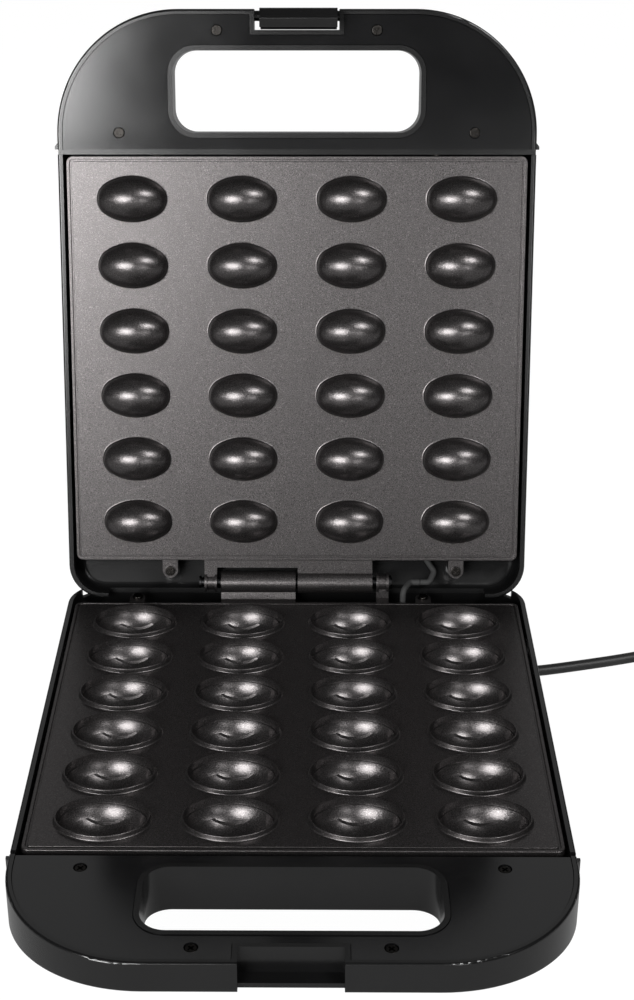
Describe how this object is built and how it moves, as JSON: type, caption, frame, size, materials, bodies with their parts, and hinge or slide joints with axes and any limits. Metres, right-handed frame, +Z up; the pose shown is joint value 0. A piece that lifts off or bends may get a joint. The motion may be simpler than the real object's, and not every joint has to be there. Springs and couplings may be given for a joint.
{
  "type": "electric nut cookie maker",
  "caption": "Black countertop nut cookie maker with a hinged lid, open, showing nut-shaped cups below and matching domes above, bridge handles, a latch and a cord.",
  "frame": {"origin": "on the table, below the middle of the open machine without its cord", "axes": "+Z up, +Y from the base's handle towards the hinge, +X along the hinge towards the cord's side"},
  "size_m": [0.4249, 0.3697, 0.3384],
  "materials": {
    "casing_plastic": "satin moulded",
    "cover_plastic": "glossy moulded",
    "nonstick_plate": "speckled non-stick coating",
    "screw_steel": "blackened",
    "pin_steel": "blackened",
    "shield_metal": "bright rolled",
    "heater_sheath": "oxidised sheath",
    "wire_sleeve": "black woven glass sleeve",
    "terminal_plastic": "moulded",
    "thermostat_body": "phenolic",
    "foot_rubber": "matte",
    "cord_rubber": "smooth",
    "red_lens": "translucent",
    "green_lens": "translucent",
    "lamp_glass": "clear",
    "blade_brass": "nickel plated"
  },
  "bodies": {
    "base": {"base_shell": "casing_plastic", "base_handle_shell": "casing_plastic", "base_handle_cover": "cover_plastic", "base_cover_screws": "screw_steel", "base_joint_screws": "screw_steel", "lower_plate": "nonstick_plate", "lower_plate_tab_screws": "screw_steel", "lower_plate_front_screw": "screw_steel", "lower_heating_element": "heater_sheath", "lower_heat_shield": "shield_metal", "lower_thermostat": "thermostat_body", "lower_thermostat_strap": "pin_steel", "terminal_block": "terminal_plastic", "mains_tail": "cord_rubber", "wire_sleeve_base": "wire_sleeve", "rubber_feet": "foot_rubber", "hinge_pin": "pin_steel", "hinge_clip": "pin_steel", "strain_relief": "cord_rubber", "power_cord": "cord_rubber", "cord_coil": "cord_rubber", "cord_tie": "cord_rubber", "plug_body": "cord_rubber", "plug_blades": "blade_brass"},
    "lid": {"lid_shell": "casing_plastic", "lid_handle_shell": "casing_plastic", "lid_handle_cover": "cover_plastic", "lid_cover_screws": "screw_steel", "lid_joint_screws": "screw_steel", "upper_plate": "nonstick_plate", "upper_plate_tab_screws": "screw_steel", "upper_plate_front_screw": "screw_steel", "upper_heating_element": "heater_sheath", "upper_heat_shield": "shield_metal", "upper_thermostat": "thermostat_body", "upper_thermostat_strap": "pin_steel", "thermal_fuse": "terminal_plastic", "wire_sleeve_lid": "wire_sleeve", "power_lamp_lens": "red_lens", "ready_lamp_lens": "green_lens", "neon_lamps": "lamp_glass", "latch_pin": "pin_steel"},
    "latch": {"latch": "casing_plastic"}
  },
  "joints": [
    {"name": "lid_hinge", "type": "hinge", "parent": "base", "child": "lid", "pos_m": [0, 0.1038, 0.0532], "axis": [1, 0, 0], "range_deg": [0, 103.84]},
    {"name": "latch_pivot", "type": "hinge", "parent": "lid", "child": "latch", "pos_m": [0, 0.17668, 0.32938], "axis": [-1, 0, 0], "range_deg": [0, 75]}
  ]
}
